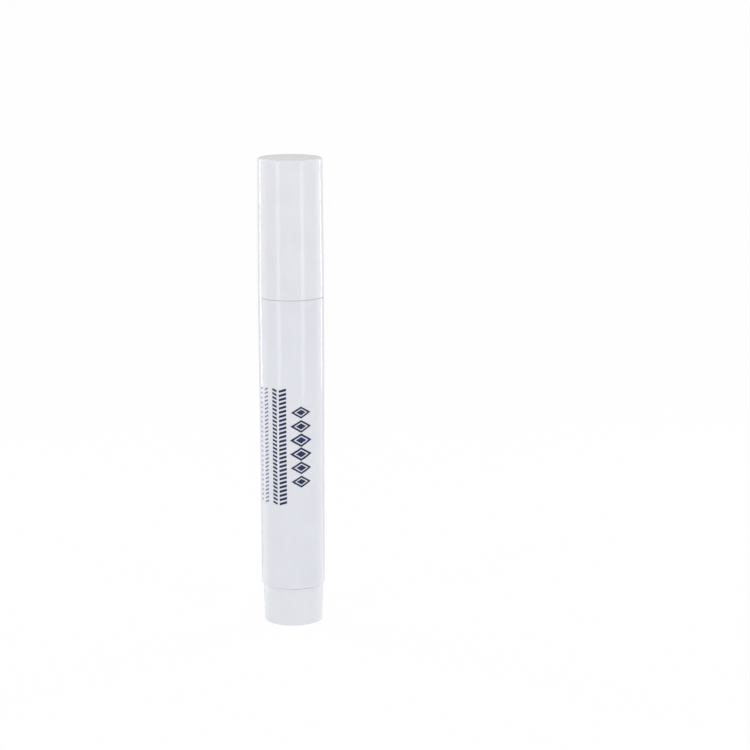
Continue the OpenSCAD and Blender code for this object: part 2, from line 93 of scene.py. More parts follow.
# %% [markdown]
# ## A few sizes of the frame
# Every added piece takes its size from the piece that carries it. The box of a node
# gives its ends and its radius, because all the pieces are turned about the Z axis.

# %% Read sizes from the frame


def ends(node):
    """Lowest and highest point of a node along the pen's axis."""
    low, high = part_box(node)
    return low.z, high.z


def radius(node):
    """Largest distance of a node from the axis, along X."""
    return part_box(node)[1].x


barrel_z = ends("barrel")[0]
cap_z = ends("cap_shell")[0]
piston_z = ends("piston")[0]
brush_z, brush_tip = ends("brush_bristles")
screw_z, screw_top = ends("lead_screw")
nut_z, nut_top = ends("screw_nut")
print("barrel from", round(barrel_z / mm, 2), "mm, cap from", round(cap_z / mm, 2), "mm")

# %% [markdown]
# ## Building materials from nodes
# A material is a small graph. The helpers below keep the cells short: one starts a
# material and returns its shader, one adds a node with its values, and one makes noise
# on Object coordinates, which stay with the piece and need no unwrapping.

# %% Material helpers


def start_material(name):
    """A new material, with its node tree and its Principled shader."""
    material = bpy.data.materials.new(name)
    material.use_nodes = True
    return material, material.node_tree, material.node_tree.nodes["Principled BSDF"]


def add(tree, kind, **values):
    """Adds one node. Names of its properties are set as they are, sockets by number."""
    node = tree.nodes.new(kind)
    for key, value in values.items():
        if key.startswith("in_"):
            node.inputs[int(key[3:])].default_value = value
        else:
            setattr(node, key, value)
    return node


def object_noise(tree, scale, detail=2.0, stretch=(1, 1, 1)):
    """Noise in the piece's own coordinates. The scale counts features in a metre."""
    place = add(tree, "ShaderNodeTexCoord")
    mapping = add(tree, "ShaderNodeMapping", in_3=stretch)
    noise = add(tree, "ShaderNodeTexNoise")
    noise.inputs["Scale"].default_value = scale
    noise.inputs["Detail"].default_value = detail
    tree.links.new(place.outputs["Object"], mapping.inputs["Vector"])
    tree.links.new(mapping.outputs["Vector"], noise.inputs["Vector"])
    return noise.outputs["Fac"]


def between(tree, fac, low, high, from_low=0.3, from_high=0.7):
    """Spreads a noise value over a small range of numbers."""
    node = add(tree, "ShaderNodeMapRange", in_1=from_low, in_2=from_high, in_3=low, in_4=high)
    tree.links.new(fac, node.inputs[0])
    return node.outputs[0]


def tone(tree, fac, dark, light):
    """A colour that drifts between two near tones."""
    mix = add(tree, "ShaderNodeMix", data_type="RGBA", in_6=(*dark, 1), in_7=(*light, 1))
    spread = between(tree, fac, 0, 1)
    tree.links.new(spread, mix.inputs[0])
    return mix.outputs[2]


def bump(tree, shader, heights):
    """Adds up height maps, each with its depth in metres, as one chain of bumps."""
    last = None
    for height, depth in heights:
        node = add(tree, "ShaderNodeBump")
        node.inputs["Strength"].default_value = 1
        node.inputs["Distance"].default_value = depth
        tree.links.new(height, node.inputs["Height"])
        if last:
            tree.links.new(last, node.inputs["Normal"])
        last = node.outputs["Normal"]
    tree.links.new(last, shader.inputs["Normal"])


print("helpers for materials: start_material, add, object_noise, between, tone, bump")

# %% [markdown]
# ## Moulded plastics
# The cap, barrel and knob are glossy white mouldings. On the real pen the white is
# slightly cool, the gloss is even but not perfect, and a reflection's edge wavers a
# little where the wall shrank in the mould. So each has two near tones, a roughness that
# drifts, a fine grain and a very shallow long wave. A painted picture could carry those
# too, but noise needs no unwrapping and stays sharp in close views. Light enters such a
# white plastic by about half a millimetre, and comes out again close by. The inner pieces
# are natural, unpigmented plastics with a satin skin.

# %% Plastic materials


def plastic(name, dark, light, rough, grain_depth, wave_depth=0.0, ior=1.5, soft=0.0):
    """A moulded plastic. rough is the lowest and highest roughness, soft its translucency."""
    material, tree, shader = start_material(name)
    drift = object_noise(tree, drift_scale, 3)
    tree.links.new(tone(tree, drift, dark, light), shader.inputs["Base Color"])
    sheen = object_noise(tree, sheen_scale, 2)
    tree.links.new(between(tree, sheen, *rough), shader.inputs["Roughness"])
    shader.inputs["IOR"].default_value = ior
    shader.inputs["Subsurface Weight"].default_value = soft
    shader.inputs["Subsurface Radius"].default_value = (1.2, 1.1, 1.0)
    shader.inputs["Subsurface Scale"].default_value = light_reach
    heights = [(object_noise(tree, grain_scale, 4), grain_depth)]
    if wave_depth:
        heights.append((object_noise(tree, wave_scale, 1, (1, 1, 0.35)), wave_depth))
    bump(tree, shader, heights)
    return material


drift_scale, sheen_scale, grain_scale, wave_scale = 140, 420, 5200, 95
light_reach = 0.5 * mm
outer_grain = 0.0008 * mm
outer_wave = 0.009 * mm
outer_soft = 0.45
cap_white = plastic("cap_white", (0.755, 0.758, 0.806), (0.779, 0.782, 0.828), (0.07, 0.11),
                    outer_grain, outer_wave, soft=outer_soft)
barrel_white = plastic("barrel_white", (0.74, 0.75, 0.802), (0.764, 0.774, 0.824), (0.08, 0.12),
                       outer_grain, outer_wave, soft=outer_soft)
knob_white = plastic("knob_white", (0.756, 0.768, 0.81), (0.778, 0.79, 0.832), (0.1, 0.15),
                     0.0012 * mm, 0.01 * mm, soft=outer_soft)
liner_natural = plastic("liner_natural", (0.78, 0.78, 0.765), (0.83, 0.83, 0.815), (0.3, 0.42),
                        0.004 * mm, ior=1.49, soft=0.2)
nose_white = plastic("nose_white", (0.78, 0.785, 0.81), (0.815, 0.82, 0.845), (0.16, 0.24),
                     0.002 * mm, 0.01 * mm)
ferrule_white = plastic("ferrule_white", (0.72, 0.73, 0.76), (0.76, 0.77, 0.8), (0.14, 0.2),
                        0.0015 * mm)
piston_natural = plastic("piston_natural", (0.76, 0.775, 0.77), (0.82, 0.83, 0.82), (0.34, 0.46),
                         0.004 * mm, ior=1.49, soft=0.25)
acetal = plastic("acetal", (0.74, 0.735, 0.71), (0.79, 0.785, 0.76), (0.26, 0.36),
                 0.003 * mm, ior=1.48, soft=0.15)
resin = plastic("set_resin", (0.62, 0.5, 0.3), (0.72, 0.6, 0.4), (0.2, 0.4),
                0.01 * mm, ior=1.55, soft=0.1)
print("outer plastics:", cap_white.name, barrel_white.name, knob_white.name)

# %% [markdown]
# ## Drawn steel
# The feed tube is drawn through a die, which leaves fine lines along it. An anisotropic
# shader could blur the gloss that way, but shows no lines in a close view. Noise that is
# stretched along Z gives them, both in the height and in the roughness.

# %% Steel for the feed tube


def drawn_steel():
    """Steel with fine lines along the tube."""
    material, tree, shader = start_material("drawn_steel")
    lines = object_noise(tree, 9000, 3, (1, 1, 0.02))
    tree.links.new(tone(tree, lines, (0.5, 0.5, 0.51), (0.66, 0.66, 0.67)),
                   shader.inputs["Base Color"])
    tree.links.new(between(tree, lines, 0.2, 0.34), shader.inputs["Roughness"])
    shader.inputs["Metallic"].default_value = 1
    bump(tree, shader, [(lines, 0.002 * mm)])
    return material


steel = drawn_steel()
print("steel for the feed tube:", steel.name)

# %% [markdown]
# ## Dressing the frame's own pieces
# A piece whose shape is already right only needs its finish. Its mesh stays as it is: the
# material could be put on the mesh, but in the object's slots it leaves the mesh untouched.

# %% Give each node its material


def dress(node, material):
    """Puts a material on a node's object."""
    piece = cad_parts[node]
    if not piece.material_slots:
        piece.data.materials.append(material)
    for place in piece.material_slots:
        place.link = "OBJECT"
        place.material = material


finishes = {
    "cap_shell": (cap_white, "shell_plastic"),
    "cap_liner": (liner_natural, "liner_plastic"),
    "barrel": (barrel_white, "barrel_plastic"),
    "nose_cone": (nose_white, "nose_plastic"),
    "brush_ferrule": (ferrule_white, "ferrule_plastic"),
    "tuft_plug": (resin, "tuft_resin"),
    "feed_tube": (steel, "tube_steel"),
    "brush_bristles": (resin, "bristle_nylon"),
    "piston": (piston_natural, "piston_plastic"),
    "lead_screw": (acetal, "drive_plastic"),
    "screw_nut": (acetal, "drive_plastic"),
    "ratchet_ring": (acetal, "drive_plastic"),
    "drive_sleeve": (acetal, "drive_plastic"),
    "twist_knob": (knob_white, "knob_plastic"),
}
for node, (material, slot) in finishes.items():
    dress(node, material)
print("dressed", len(finishes), "nodes")

# %% [markdown]
# ## A toolbox for Geometry Nodes
# Three things on this pen repeat or follow a rule: the tuft's strands, the screw's thread
# and the printed ornament. Geometry Nodes suit them, because one small tree holds the rule
# and its named inputs hold the sizes. One helper makes a tree with its inputs. Another
# puts it on a base mesh, sets the inputs by their sockets' identifiers, and keeps the
# result as a plain mesh, so that nothing live is left on the piece.

# %% Geometry Nodes helpers


def new_tree(name, inputs):
    """A node tree with geometry in and out, and a named number for each size."""
    tree = bpy.data.node_groups.new(name, "GeometryNodeTree")
    tree.interface.new_socket("Geometry", in_out="OUTPUT", socket_type="NodeSocketGeometry")
    tree.interface.new_socket("Geometry", in_out="INPUT", socket_type="NodeSocketGeometry")
    for label, kind in inputs:
        tree.interface.new_socket(label, in_out="INPUT", socket_type="NodeSocket" + kind)
    return tree, tree.nodes.new("NodeGroupInput").outputs, tree.nodes.new("NodeGroupOutput")


def feed(tree, target, *sources):
    """Links or sets a node's inputs from the first on. None leaves one as it is."""
    for socket, source in zip(target.inputs, sources):
        if source is None:
            continue
        if isinstance(source, bpy.types.NodeSocket):
            tree.links.new(source, socket)
        else:
            socket.default_value = source
    return target.outputs[0]


def math_node(tree, operation, *sources):
    """One sum, product or other operation, as in ordinary arithmetic."""
    node = tree.nodes.new("ShaderNodeMath")
    node.operation = operation
    return feed(tree, node, *sources)


def ramp(tree, value, from_low, from_high, low, high):
    """A straight change from low to high, held at both ends."""
    node = tree.nodes.new("ShaderNodeMapRange")
    return feed(tree, node, value, from_low, from_high, low, high)


def split_position(tree):
    """The three coordinates of each point."""
    place = tree.nodes.new("GeometryNodeInputPosition")
    parts = tree.nodes.new("ShaderNodeSeparateXYZ")
    tree.links.new(place.outputs[0], parts.inputs[0])
    return parts.outputs


def move_to(tree, geometry, x, y, z):
    """Puts every point at new coordinates."""
    joined = tree.nodes.new("ShaderNodeCombineXYZ")
    feed(tree, joined, x, y, z)
    node = tree.nodes.new("GeometryNodeSetPosition")
    tree.links.new(geometry, node.inputs["Geometry"])
    tree.links.new(joined.outputs[0], node.inputs["Position"])
    return node.outputs[0]


def finish_tree(tree, geometry, out, material):
    """Real meshes with their material, as the export needs them."""
    real = tree.nodes.new("GeometryNodeRealizeInstances")
    paint = tree.nodes.new("GeometryNodeSetMaterial")
    paint.inputs["Material"].default_value = material
    tree.links.new(geometry, real.inputs[0])
    tree.links.new(real.outputs[0], paint.inputs["Geometry"])
    tree.links.new(paint.outputs[0], out.inputs[0])


def plain_mesh(name, vertices, faces):
    """A mesh object from its points and faces, placed at the origin."""
    mesh = bpy.data.meshes.new(name)
    mesh.from_pydata(vertices, [], faces)
    mesh.update()
    piece = bpy.data.objects.new(name, mesh)
    bpy.context.scene.collection.objects.link(piece)
    return piece


def grow(base, tree, sizes):
    """Runs the tree on a base object and returns the result as a plain mesh."""
    modifier = base.modifiers.new("grow", "NODES")
    modifier.node_group = tree
    for item in tree.interface.items_tree:
        if item.in_out == "INPUT" and item.name in sizes:
            modifier[item.identifier] = sizes[item.name]
    bpy.context.view_layer.update()
    result = base.evaluated_get(bpy.context.evaluated_depsgraph_get())
    mesh = bpy.data.meshes.new_from_object(result)
    base.modifiers.remove(modifier)
    return mesh


def join_meshes(name, meshes, smooth=True):
    """One object from several meshes, which keep their own materials."""
    piece = plain_mesh(name, [], [])
    work = bmesh.new()
    for mesh in meshes:
        offset = len(piece.data.materials)
        first = len(work.faces)
        work.from_mesh(mesh)
        work.faces.ensure_lookup_table()
        for face in work.faces[first:]:
            face.material_index += offset
            face.smooth = smooth
        for material in mesh.materials:
            piece.data.materials.append(material)
    work.to_mesh(piece.data)
    work.free()
    return piece


print("helpers for trees: new_tree, feed, math_node, ramp, split_position, move_to, finish_tree")
print("helpers for meshes: plain_mesh, grow, join_meshes")

# %% [markdown]
# ## A small lathe
# Plain turned shapes, such as the root slice of the tuft, are an outline of radius and
# height carried round the axis. A Screw modifier could do this too. The helper leaves no
# modifier behind, and points on the axis stay single, so both poles close.

# %% Lathe helper


def turned(name, outline, material, sides=64):
    """Carries a closed outline of (radius, height) in millimetres round the Z axis."""
    work = bmesh.new()
    rings = []
    for r, z in outline:
        if r == 0:
            rings.append([work.verts.new((0, 0, z * mm))])
        else:
            turn = [2 * math.pi * i / sides for i in range(sides)]
            ring = [(r * mm * math.cos(a), r * mm * math.sin(a), z * mm) for a in turn]
            rings.append([work.verts.new(point) for point in ring])
    for one, two in zip(rings, rings[1:] + rings[:1]):
        for i in range(sides):
            j = (i + 1) % sides
            corners = [one[i % len(one)], one[j % len(one)], two[j % len(two)], two[i % len(two)]]
            corners = list(dict.fromkeys(corners))
            if len(corners) > 2:
                work.faces.new(corners)
    bmesh.ops.recalc_face_normals(work, faces=work.faces)
    mesh = bpy.data.meshes.new(name)
    work.to_mesh(mesh)
    work.free()
    mesh.materials.append(material)
    return mesh


print("helper for turned shapes: turned")

# %% [markdown]
# ## The tuft
# The real brush holds several hundred nylon filaments of about a tenth of a millimetre.
# They are drawn to a point and set in resin. They swell a little above the sleeve and
# close to a soft tip, because the outer ones are cut shorter. The construction has fewer,
# thicker strands. Nylon lets light through, so the tuft looks soft and a little yellow.

# %% Filament material


def nylon():
    """Clear, slightly yellow filament with lengthwise streaks."""
    material, tree, shader = start_material("bristle_nylon")
    streak = object_noise(tree, 7000, 2, (1, 1, 0.05))
    tree.links.new(tone(tree, streak, (0.62, 0.55, 0.42), (0.85, 0.81, 0.72)),
                   shader.inputs["Base Color"])
    tree.links.new(between(tree, streak, 0.22, 0.38), shader.inputs["Roughness"])
    shader.inputs["IOR"].default_value = 1.53
    shader.inputs["Subsurface Weight"].default_value = 0.25
    shader.inputs["Subsurface Radius"].default_value = (1.0, 0.8, 0.5)
    shader.inputs["Subsurface Scale"].default_value = 0.2 * mm
    bump(tree, shader, [(streak, 0.004 * mm)])
    return material


filament = nylon()
print("filaments:", filament.name)

# %% [markdown]
# ## One rule for all filaments
# Modelling hundreds of filaments one by one would be slow, and they would cross. Here each
# is a line with a few points that stands on a disc. One rule of height moves it in or out,
# the rim's lines are made shorter, a little chance makes them uneven, and then each gets
# its thin round body, which tapers.

# %% Tree of the tuft
golden_angle = 2.399963
points_per_strand = 7
strand_sides = 5
# Pairs: a share of the length, and the share of the tuft's width there before the scale.
belly_foot, belly_tip = (0, 0.909), (1, 0.17)
belly_between = ((0.2, 0.945), (0.4, 0.935), (0.75, 0.56))
belly_scale = 1.1
rim_power = 1.8
shortest_share = 0.96
taper_start, tip_share = 0.35, 0.35


def tuft_tree(material):
    """Filaments on a disc with a hole, spread evenly, swollen and drawn to a point."""
    tree, inside, out = new_tree("tuft_strands", [
        ("Strands", "Int"), ("Inner radius", "Float"), ("Outer radius", "Float"),
        ("Foot height", "Float"), ("Length", "Float"), ("Thickness", "Float"),
        ("Shorter at the rim", "Float"), ("Wander", "Float"), ("Seed", "Int"),
    ])
    count, inner, outer, foot, length, thick, shorter, wander, seed = inside[1:10]
    points = tree.nodes.new("GeometryNodePoints")
    tree.links.new(count, points.inputs["Count"])
    index = tree.nodes.new("GeometryNodeInputIndex").outputs[0]
    share = math_node(tree, "DIVIDE", math_node(tree, "ADD", index, 0.5), count)
    low = math_node(tree, "MULTIPLY", inner, inner)
    high = math_node(tree, "MULTIPLY", outer, outer)
    area = math_node(tree, "MULTIPLY_ADD", share, math_node(tree, "SUBTRACT", high, low), low)
    r = math_node(tree, "SQRT", area)
    angle = math_node(tree, "MULTIPLY", index, golden_angle)
    foot_x = math_node(tree, "MULTIPLY", r, math_node(tree, "COSINE", angle))
    foot_y = math_node(tree, "MULTIPLY", r, math_node(tree, "SINE", angle))
    spread = move_to(tree, points.outputs[0], foot_x, foot_y, 0.0)
    line = tree.nodes.new("GeometryNodeCurvePrimitiveLine")
    line.inputs["End"].default_value = (0, 0, 1)
    steps = tree.nodes.new("GeometryNodeResampleCurve")
    steps.inputs["Count"].default_value = points_per_strand
    tree.links.new(line.outputs[0], steps.inputs["Curve"])
    stand = tree.nodes.new("GeometryNodeInstanceOnPoints")
    tree.links.new(spread, stand.inputs["Points"])
    tree.links.new(steps.outputs[0], stand.inputs["Instance"])
    lines = tree.nodes.new("GeometryNodeRealizeInstances")
    tree.links.new(stand.outputs[0], lines.inputs[0])
    x, y, t = split_position(tree)
    belly = tree.nodes.new("ShaderNodeFloatCurve")
    curve = belly.mapping.curves[0]
    curve.points[0].location = belly_foot
    curve.points[1].location = belly_tip
    for place in belly_between:
        curve.points.new(*place)
    belly.mapping.update()
    tree.links.new(t, belly.inputs["Value"])
    width = math_node(tree, "MULTIPLY", belly.outputs[0], belly_scale)
    flat = tree.nodes.new("ShaderNodeCombineXYZ")
    feed(tree, flat, x, y, 0.0)
    chance = tree.nodes.new("ShaderNodeTexWhiteNoise")
    chance.noise_dimensions = "4D"
    tree.links.new(flat.outputs[0], chance.inputs["Vector"])
    tree.links.new(seed, chance.inputs["W"])
    bend = tree.nodes.new("ShaderNodeSeparateXYZ")
    tree.links.new(chance.outputs["Color"], bend.inputs[0])
    r_here = math_node(tree, "SQRT", math_node(tree, "ADD", math_node(tree, "MULTIPLY", x, x),
                                               math_node(tree, "MULTIPLY", y, y)))
    rim = math_node(tree, "POWER", ramp(tree, r_here, inner, outer, 0.0, 1.0), rim_power)
    reach = math_node(tree, "SUBTRACT", 1.0, math_node(tree, "MULTIPLY", rim, shorter))
    uneven = ramp(tree, chance.outputs["Value"], 0.0, 1.0, shortest_share, 1.0)
    reach = math_node(tree, "MULTIPLY", reach, uneven)
    sway = math_node(tree, "MULTIPLY", math_node(tree, "MULTIPLY", t, t), wander)
    new_x = math_node(tree, "MULTIPLY_ADD", math_node(tree, "SUBTRACT", bend.outputs[0], 0.5), sway,
                      math_node(tree, "MULTIPLY", x, width))
    new_y = math_node(tree, "MULTIPLY_ADD", math_node(tree, "SUBTRACT", bend.outputs[1], 0.5), sway,
                      math_node(tree, "MULTIPLY", y, width))
    new_z = math_node(tree, "MULTIPLY_ADD", math_node(tree, "MULTIPLY", t, reach), length, foot)
    moved = move_to(tree, lines.outputs[0], new_x, new_y, new_z)
    along = tree.nodes.new("GeometryNodeSplineParameter").outputs["Factor"]
    taper = ramp(tree, along, taper_start, 1.0, 1.0, tip_share)
    round_wire = tree.nodes.new("GeometryNodeCurvePrimitiveCircle")
    round_wire.inputs["Resolution"].default_value = strand_sides
    tree.links.new(thick, round_wire.inputs["Radius"])
    body = tree.nodes.new("GeometryNodeCurveToMesh")
    body.inputs["Fill Caps"].default_value = True
    tree.links.new(moved, body.inputs["Curve"])
    tree.links.new(round_wire.outputs[0], body.inputs["Profile Curve"])
    tree.links.new(taper, body.inputs["Scale"])
    finish_tree(tree, body.outputs[0], out, material)
    return tree


tuft_rule = tuft_tree(filament)
print("rule of the tuft:", len(tuft_rule.nodes), "nodes")

# %% [markdown]
# The filaments grow from a turned slice of resin, as on the real brush, and the whole tuft
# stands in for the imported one.

# %% Grow the tuft
slice_height = 0.8 * mm
sunk_in_slice = 0.25 * mm
below_tip = 0.01 * mm
slice_top = brush_z + slice_height
strand_foot = slice_top - sunk_in_slice
tuft_outer = radius("tuft_plug")
tuft_inner = 0.82 * mm
strand_r = 0.055 * mm
slice_bore, crown_r, crown_rise = 0.78, 1.4, 0.06
seed_mesh = plain_mesh("strand_seed", [(0, 0, 0)], [])
strands = grow(seed_mesh, tuft_rule, {
    "Strands": 760, "Inner radius": tuft_inner + strand_r, "Outer radius": tuft_outer - strand_r,
    "Foot height": strand_foot, "Length": brush_tip - strand_foot - below_tip,
    "Thickness": strand_r, "Shorter at the rim": 0.3, "Wander": 0.12 * mm, "Seed": 7,
})
bpy.data.objects.remove(seed_mesh)
root_slice = turned("root_slice", [
    (slice_bore, brush_z / mm), (tuft_outer / mm, brush_z / mm),
    (tuft_outer / mm, slice_top / mm), (crown_r, slice_top / mm + crown_rise),
    (slice_bore, slice_top / mm),
], resin)
tuft = join_meshes("brush_tuft", [strands, root_slice])
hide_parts("brush_bristles")
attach(tuft, "root")
highest = max(v.co.z for v in tuft.data.vertices)
print("tuft:", len(tuft.data.polygons), "faces, tip at", round(highest / mm, 2), "mm")

# %% [markdown]
# ## The feed screw's thread
# The screw is moulded with one right-hand thread and two flats, which the drive sleeve
# turns. A thread is a rule: the surface stands out where the height, less the angle's
# share of one lead, is near a whole number of leads. A profile swept along a helix is the
# usual way, but its flats would need a boolean cut. So a fine cylinder is moved in and out
# by that rule, and a clamp on Y then shaves the flats, as the mould does.

# %% Tree of the thread
thread_sides = 96
thread_rows = 390
half_crest_share, half_foot_share = 0.14, 0.3


def thread_tree(material):
    """A cylinder whose points move in and out by the rule of a thread with two flats."""
    tree, inside, out = new_tree("screw_thread", [
        ("Bottom", "Float"), ("Length", "Float"), ("Root radius", "Float"),
        ("Crest radius", "Float"), ("Lead", "Float"), ("Half flat", "Float"), ("Run-out", "Float"),
    ])
    bottom, length, root, crest, lead, half_flat, run_out = inside[1:8]
    tube = tree.nodes.new("GeometryNodeMeshCylinder")
    tube.inputs["Vertices"].default_value = thread_sides
    tube.inputs["Side Segments"].default_value = thread_rows
    tube.inputs["Radius"].default_value = 1
    tree.links.new(length, tube.inputs["Depth"])
    x, y, z = split_position(tree)
    height = math_node(tree, "ADD", z, math_node(tree, "MULTIPLY", length, 0.5))
    angle = math_node(tree, "ARCTAN2", y, x)
    climbed = math_node(tree, "DIVIDE", math_node(tree, "ADD", height, bottom), lead)
    turns = math_node(tree, "SUBTRACT", climbed, math_node(tree, "DIVIDE", angle, 2 * math.pi))
    wave = math_node(tree, "PINGPONG", turns, 0.5)
    tooth = ramp(tree, wave, half_crest_share, half_foot_share, 1.0, 0.0)
    start = ramp(tree, height, 0.0, run_out, 0.0, 1.0)
    end = ramp(tree, math_node(tree, "SUBTRACT", length, height), 0.0, run_out, 0.0, 1.0)
    depth = math_node(tree, "MULTIPLY", math_node(tree, "SUBTRACT", crest, root),
                      math_node(tree, "MULTIPLY", tooth, math_node(tree, "MULTIPLY", start, end)))
    r = math_node(tree, "ADD", root, depth)
    new_y = math_node(tree, "MULTIPLY", r, math_node(tree, "SINE", angle))
    flat_y = math_node(tree, "MAXIMUM", math_node(tree, "MINIMUM", new_y, half_flat),
                       math_node(tree, "MULTIPLY", half_flat, -1.0))
    new_x = math_node(tree, "MULTIPLY", r, math_node(tree, "COSINE", angle))
    moved = move_to(tree, tube.outputs[0], new_x, flat_y, math_node(tree, "ADD", height, bottom))
    finish_tree(tree, moved, out, material)
    return tree


thread_rule = thread_tree(acetal)
print("rule of the thread:", len(thread_rule.nodes), "nodes")

# %% [markdown]
# The thread ends under the piston. Above it the screw has a plain neck and a snap head,
# which holds the piston and lets it stay still while the screw turns.

# %% Screw with its thread
lead = 2.0 * mm
thread_depth = 0.6 * mm
half_flat = 2.0 * mm
run_out = 0.5 * mm
piston_play = 0.15 * mm
crest_r = radius("lead_screw")
root_r = crest_r - thread_depth
thread_top = piston_z - piston_play
seed_mesh = plain_mesh("thread_seed", [(0, 0, 0)], [])
thread = grow(seed_mesh, thread_rule, {
    "Bottom": screw_z, "Length": thread_top - screw_z, "Root radius": root_r,
    "Crest radius": crest_r, "Lead": lead, "Half flat": half_flat, "Run-out": run_out,
})
bpy.data.objects.remove(seed_mesh)
neck_foot = thread_top / mm - 0.3
neck_z = (piston_z + 1.25 * mm) / mm
head_top = screw_top / mm
neck_r, head_r = 1.5, 2.2
snap_head = turned("snap_head", [
    (0, neck_foot), (neck_r, neck_foot), (neck_r, neck_z), (head_r - 0.1, neck_z),
    (head_r, neck_z + 0.1), (head_r, head_top - 0.8), (1.4, head_top), (0, head_top),
], acetal, 48)
screw = join_meshes("threaded_screw", [thread, snap_head], smooth=False)
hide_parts("lead_screw")
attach(screw, "screw")
turns_cut = (thread_top - screw_z) / lead
print("screw:", len(screw.data.polygons), "faces,", round(turns_cut, 1), "turns of thread")

# %% [markdown]
# ## The nut's thread
# The fixed nut carries the matching ridge on its bore. It is a short strip with a
# trapezoid section that climbs at the same lead, half a turn out of step with the
# screw's crest, so that it lies in the groove with a little play. It is a piece of its own,
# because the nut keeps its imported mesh.

# %% Ridge in the nut


def nut_ridge(name, low, high, material):
    """A helical ridge from low to high, in metres, that fades in and out at its ends."""
    inner, outer = root_r + 0.1 * mm, crest_r + 0.15 * mm
    half_crest, half_foot = 0.3, 0.68
    per_turn, fade_steps = 64, 8
    margin = 0.75 * mm
    pitch_step = lead / per_turn
    first = low + margin
    start = (first / lead - 0.5) * 2 * math.pi
    steps = int((high - margin - first) / pitch_step)
    work = bmesh.new()
    rings = []
    for k in range(steps + 1):
        a = start + 2 * math.pi * k / per_turn
        z = first + k * pitch_step
        fade = min(1, (k + 1) / fade_steps, (steps - k + 1) / fade_steps)
        tip = outer - (outer - inner) * fade
        section = ((outer, -half_foot), (tip, -half_crest), (tip, half_crest), (outer, half_foot))
        ring = [(r * math.cos(a), r * math.sin(a), z + h * mm * fade) for r, h in section]
        rings.append([work.verts.new(point) for point in ring])
    for one, two in zip(rings, rings[1:]):
        for i in range(4):
            j = (i + 1) % 4
            work.faces.new((one[i], one[j], two[j], two[i]))
    work.faces.new(rings[0])
    work.faces.new(rings[-1])
    bmesh.ops.recalc_face_normals(work, faces=work.faces)
    piece = plain_mesh(name, [], [])
    work.to_mesh(piece.data)
    work.free()
    piece.data.materials.append(material)
    return piece


ridge = nut_ridge("nut_ridge", nut_z, nut_top, acetal)
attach(ridge, "root")
print("nut ridge:", len(ridge.data.polygons), "faces")

# %% [markdown]
# ## Mark of the mould
# The plastic enters the knob's mould at the middle of its floor. The broken sprue leaves a
# small pip in a dimple there, and the recess of the foot keeps it off the table. It is
# round, so the lathe makes it.

# %% Sprue mark under the knob
recess_z = 0.25
drops = [
    # radius and how far below the recess's floor, in millimetres
    (0, 0), (1.5, 0), (1.3, 0.06), (0.95, 0.08), (0.8, 0.03),
    (0.55, 0.05), (0.45, 0.14), (0.2, 0.17), (0, 0.16),
]
pip = [(r, recess_z - drop) for r, drop in drops]
sprue = join_meshes("sprue_mark", [turned("sprue_outline", pip, knob_white, 40)])
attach(sprue, "knob")
print("sprue mark:", len(sprue.data.polygons), "faces")

# %% [markdown]
# ## A printed ornament
# Pens of this kind are screen printed along the front, because a round barrel can roll
# over a flat screen. Here the print is a plain ornament in dark blue: a column of
# lozenges that grow towards the middle, two columns of slanted strokes like twisted
# cords, and two fine pale ones. It could be a picture on the barrel, but a thin film of
# its own has sharp edges and a real shape. Screen ink is dense and only half
# glossy, so it mirrors less than the barrel round it.

# %% Screen inks


def ink(name, dark, light):
    """Screen ink: dense colour with small pinholes' worth of unevenness."""
    material, tree, shader = start_material(name)
    coat = object_noise(tree, 2600, 4)
    tree.links.new(tone(tree, coat, dark, light), shader.inputs["Base Color"])
    tree.links.new(between(tree, coat, 0.22, 0.4), shader.inputs["Roughness"])
    shader.inputs["Specular IOR Level"].default_value = 0.25
    bump(tree, shader, [(coat, 0.004 * mm)])
    return material


navy = ink("ink_navy", (0.012, 0.021, 0.066), (0.019, 0.031, 0.098))
pale_navy = ink("ink_pale_navy", (0.09, 0.11, 0.19), (0.12, 0.14, 0.23))
faint_navy = ink("ink_faint_navy", (0.26, 0.29, 0.38), (0.31, 0.34, 0.43))
print("inks:", navy.name, pale_navy.name, faint_navy.name)

# %% [markdown]
# ## Flat motifs
# Ink is a film of a few hundredths of a millimetre. The motifs are drawn flat, as on the
# screen. Each is a thin closed slab and not a sheet, so that the exported mesh is closed,
# and it has rows of points across, so that it can bend round the barrel later.

# %% Slabs, lozenge and stroke
film = 0.02 * mm
ring_steps, core_steps, stroke_steps = 6, 5, 5


def slab(outline_rows):
    """A thin closed slab from rows of (across, along) points, all rows equally long."""
    rows, columns = len(outline_rows), len(outline_rows[0])
    vertices = [(u * mm, y, z * mm) for y in (0, 2 * film) for row in outline_rows for u, z in row]
    half = rows * columns
    faces = []
    for i in range(rows - 1):
        for j in range(columns - 1):
            a, b = i * columns + j, i * columns + j + 1
            c, d = b + columns, a + columns
            faces += [(a, b, c, d), (half + d, half + c, half + b, half + a)]
    rim = [(0, j) for j in range(columns)] + [(i, columns - 1) for i in range(1, rows)]
    rim += [(rows - 1, j) for j in range(columns - 2, -1, -1)]
    rim += [(i, 0) for i in range(rows - 2, 0, -1)]
    ids = [i * columns + j for i, j in rim]
    for a, b in zip(ids, ids[1:] + ids[:1]):
        faces.append((b, a, half + a, half + b))
    return vertices, faces


def ring_slab(outer, inner):
    """A thin closed slab between two loops of (across, along) points, both equally long."""
    count = len(outer)
    back = 2 * count
    flat = [(u * mm, z * mm) for u, z in outer + inner]
    vertices = [(u, y, z) for y in (0, 2 * film) for u, z in flat]
    faces = []
    for a in range(count):
        b = (a + 1) % count
        c, d = count + b, count + a
        faces += [(a, b, c, d), (back + d, back + c, back + b, back + a)]
        faces += [(b, a, back + a, back + b), (d, c, back + c, back + d)]
    return vertices, faces


def blend_point(a, b, share):
    """The point that lies a share of the way from a to b."""
    return tuple(p + (q - p) * share for p, q in zip(a, b))


